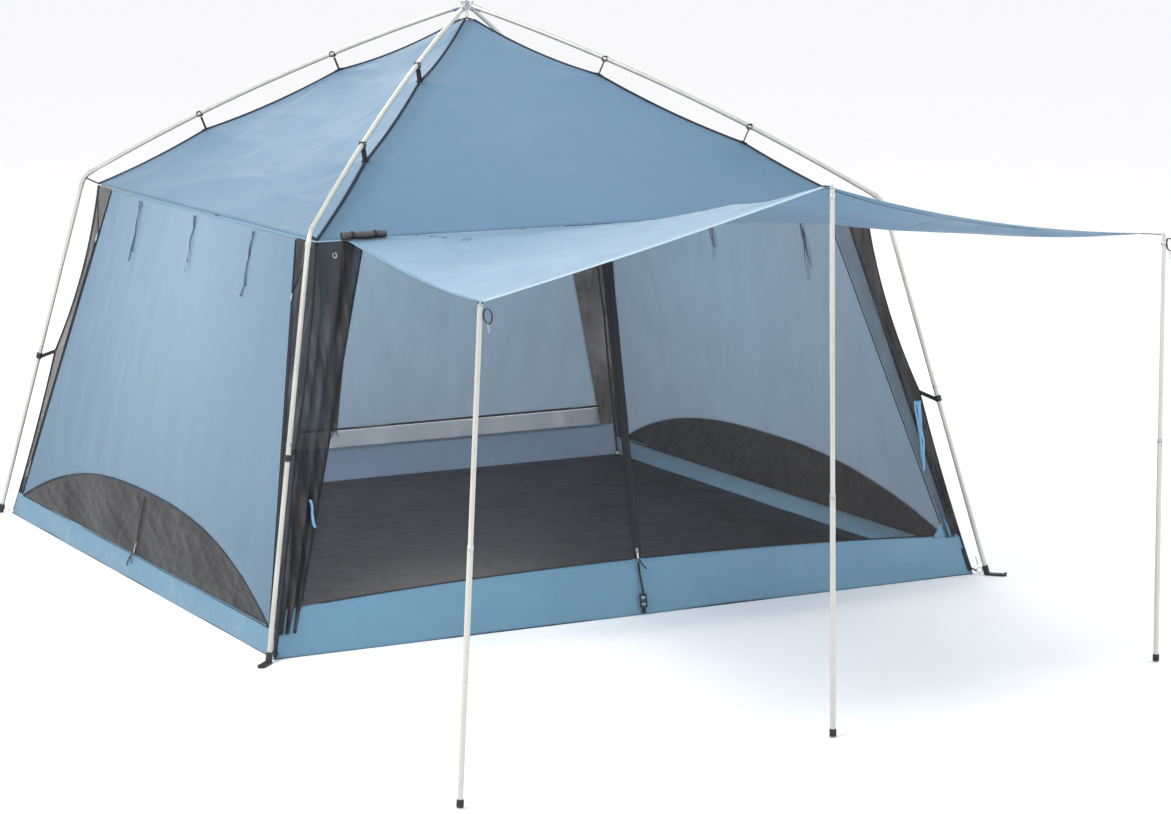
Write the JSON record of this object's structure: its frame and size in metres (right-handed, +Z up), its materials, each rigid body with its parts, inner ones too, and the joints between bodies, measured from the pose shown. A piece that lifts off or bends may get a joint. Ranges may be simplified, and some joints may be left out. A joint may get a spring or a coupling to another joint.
{
  "type": "screen house",
  "caption": "Pyramid-roofed camping screen house hung inside a bent steel frame, with mesh doors, arched side vents and a raised front awning on telescoping poles.",
  "frame": {"origin": "middle of the square floor, on the ground", "axes": "+Z up, -Y towards the raised awning and the front doors, +X to the right when looking along +Y"},
  "size_m": [3.9503, 6.0532, 2.682],
  "materials": {
    "hub_metal": "zinc-plated steel",
    "frame_tube": "pale powder-coated steel tube",
    "foot_plastic": "moulded black plastic",
    "webbing": "woven black webbing",
    "clip_plastic": "moulded black plastic",
    "roof_fabric": "coated polyester taffeta",
    "wall_fabric": "coated polyester taffeta",
    "vent_fabric": "coated polyester taffeta",
    "mesh": "fine insect netting",
    "skirt_fabric": "coated polyester taffeta",
    "floor_fabric": "coated polyester sheet",
    "zip_tape": "woven zip tape with nylon coil",
    "tie_fabric": "narrow woven tape",
    "zip_metal": "die-cast metal",
    "awning_fabric": "coated polyester taffeta",
    "ring_metal": "plated steel",
    "awning_tube": "pale powder-coated steel tube"
  },
  "bodies": {
    "shelter": {"hub": "hub_metal", "peak_ring": "hub_metal", "foot_rings": "hub_metal", "roof_pole_front_right": "frame_tube", "roof_pole_back_right": "frame_tube", "roof_pole_back_left": "frame_tube", "roof_pole_front_left": "frame_tube", "leg_upper_front_right": "frame_tube", "leg_upper_back_right": "frame_tube", "leg_upper_back_left": "frame_tube", "leg_upper_front_left": "frame_tube", "leg_lower_front_right": "frame_tube", "leg_lower_back_right": "frame_tube", "leg_lower_back_left": "frame_tube", "leg_lower_front_left": "frame_tube", "foot_front_right": "foot_plastic", "foot_back_right": "foot_plastic", "foot_back_left": "foot_plastic", "foot_front_left": "foot_plastic", "corner_straps": "webbing", "sill_buckle": "webbing", "pole_clips": "clip_plastic", "roof_front": "roof_fabric", "roof_right": "roof_fabric", "roof_back": "roof_fabric", "roof_left": "roof_fabric", "wall_left": "wall_fabric", "wall_right": "wall_fabric", "wall_back": "wall_fabric", "vent_left": "vent_fabric", "vent_right": "vent_fabric", "rolled_flap": "vent_fabric", "corner_mesh_front_right": "mesh", "corner_mesh_back_right": "mesh", "corner_mesh_back_left": "mesh", "corner_mesh_front_left": "mesh", "back_mesh": "mesh", "skirt_front": "skirt_fabric", "skirt_right": "skirt_fabric", "skirt_back": "skirt_fabric", "skirt_left": "skirt_fabric", "groundsheet": "floor_fabric", "back_zip": "zip_tape", "tie_tapes": "tie_fabric"},
    "left_door_leaf": {"door_left": "mesh", "front_zip": "zip_tape"},
    "right_door_leaf": {"door_right": "mesh"},
    "front_zip_pull": {"front_zip_slider": "zip_metal"},
    "back_zip_pull": {"back_zip_slider": "zip_metal"},
    "left_vent_pull": {"vent_slider_left": "zip_metal"},
    "right_vent_pull": {"vent_slider_right": "zip_metal"},
    "awning_panel": {"awning": "awning_fabric", "awning_rings": "ring_metal"},
    "left_pole_upper": {"awning_pole_left_upper": "awning_tube"},
    "left_pole_lower": {"awning_pole_left_lower": "awning_tube"},
    "mid_pole_upper": {"awning_pole_mid_upper": "awning_tube"},
    "mid_pole_lower": {"awning_pole_mid_lower": "awning_tube"},
    "right_pole_upper": {"awning_pole_right_upper": "awning_tube"},
    "right_pole_lower": {"awning_pole_right_lower": "awning_tube"}
  },
  "joints": [
    {"name": "left_door", "type": "hinge", "parent": "shelter", "child": "left_door_leaf", "pos_m": [-1.6411, -1.73288, 0.21797], "axis": [0.2854, 0.2067, 0.9359], "range_deg": [0, 78]},
    {"name": "right_door", "type": "hinge", "parent": "shelter", "child": "right_door_leaf", "pos_m": [1.6411, -1.73288, 0.21797], "axis": [0.2854, -0.2067, -0.9359], "range_deg": [0, 78]},
    {"name": "front_zip_slide", "type": "slide", "parent": "left_door_leaf", "child": "front_zip_pull", "axis": [0, 0.2157, 0.9765], "range_m": [0, 1.4]},
    {"name": "back_zip_slide", "type": "slide", "parent": "shelter", "child": "back_zip_pull", "axis": [0, -0.2157, 0.9765], "range_m": [0, 1.33]},
    {"name": "left_vent_zip_slide", "type": "slide", "parent": "shelter", "child": "left_vent_pull", "axis": [0.2157, 0, 0.9765], "range_m": [0, 0.22]},
    {"name": "right_vent_zip_slide", "type": "slide", "parent": "shelter", "child": "right_vent_pull", "axis": [-0.2157, 0, 0.9765], "range_m": [0, 0.22]},
    {"name": "awning_swing", "type": "hinge", "parent": "shelter", "child": "awning_panel", "pos_m": [0, -1.402, 1.7225], "axis": [1, 0, 0], "range_deg": [0, 16]},
    {"name": "left_pole_pivot", "type": "hinge", "parent": "awning_panel", "child": "left_pole_upper", "pos_m": [-1.942, -4.14, 1.815], "axis": [1, 0, 0], "range_deg": [-16.5, 0.5]},
    {"name": "left_pole_slide", "type": "slide", "parent": "left_pole_upper", "child": "left_pole_lower", "axis": [0.0523, 0, 0.9986], "range_m": [0, 0.78]},
    {"name": "mid_pole_pivot", "type": "hinge", "parent": "awning_panel", "child": "mid_pole_upper", "pos_m": [-0.378, -3.95, 2.135], "axis": [1, 0, 0], "range_deg": [-16.5, 0.5]},
    {"name": "mid_pole_slide", "type": "slide", "parent": "mid_pole_upper", "child": "mid_pole_lower", "axis": [-0.014, 0, 0.9999], "range_m": [0, 0.78]},
    {"name": "right_pole_pivot", "type": "hinge", "parent": "awning_panel", "child": "right_pole_upper", "pos_m": [1.472, -3.57, 1.815], "axis": [1, 0, 0], "range_deg": [-16.5, 0.5]},
    {"name": "right_pole_slide", "type": "slide", "parent": "right_pole_upper", "child": "right_pole_lower", "axis": [-0.0105, 0, 0.9999], "range_m": [0, 0.78]}
  ],
  "couplings": [
    {"joint": "left_pole_pivot", "follows": "awning_swing", "ratio": -1},
    {"joint": "left_pole_slide", "follows": "awning_swing", "m_per_rad": 2.74},
    {"joint": "mid_pole_pivot", "follows": "awning_swing", "ratio": -1},
    {"joint": "mid_pole_slide", "follows": "awning_swing", "m_per_rad": 2.575},
    {"joint": "right_pole_pivot", "follows": "awning_swing", "ratio": -1},
    {"joint": "right_pole_slide", "follows": "awning_swing", "m_per_rad": 2.17}
  ]
}
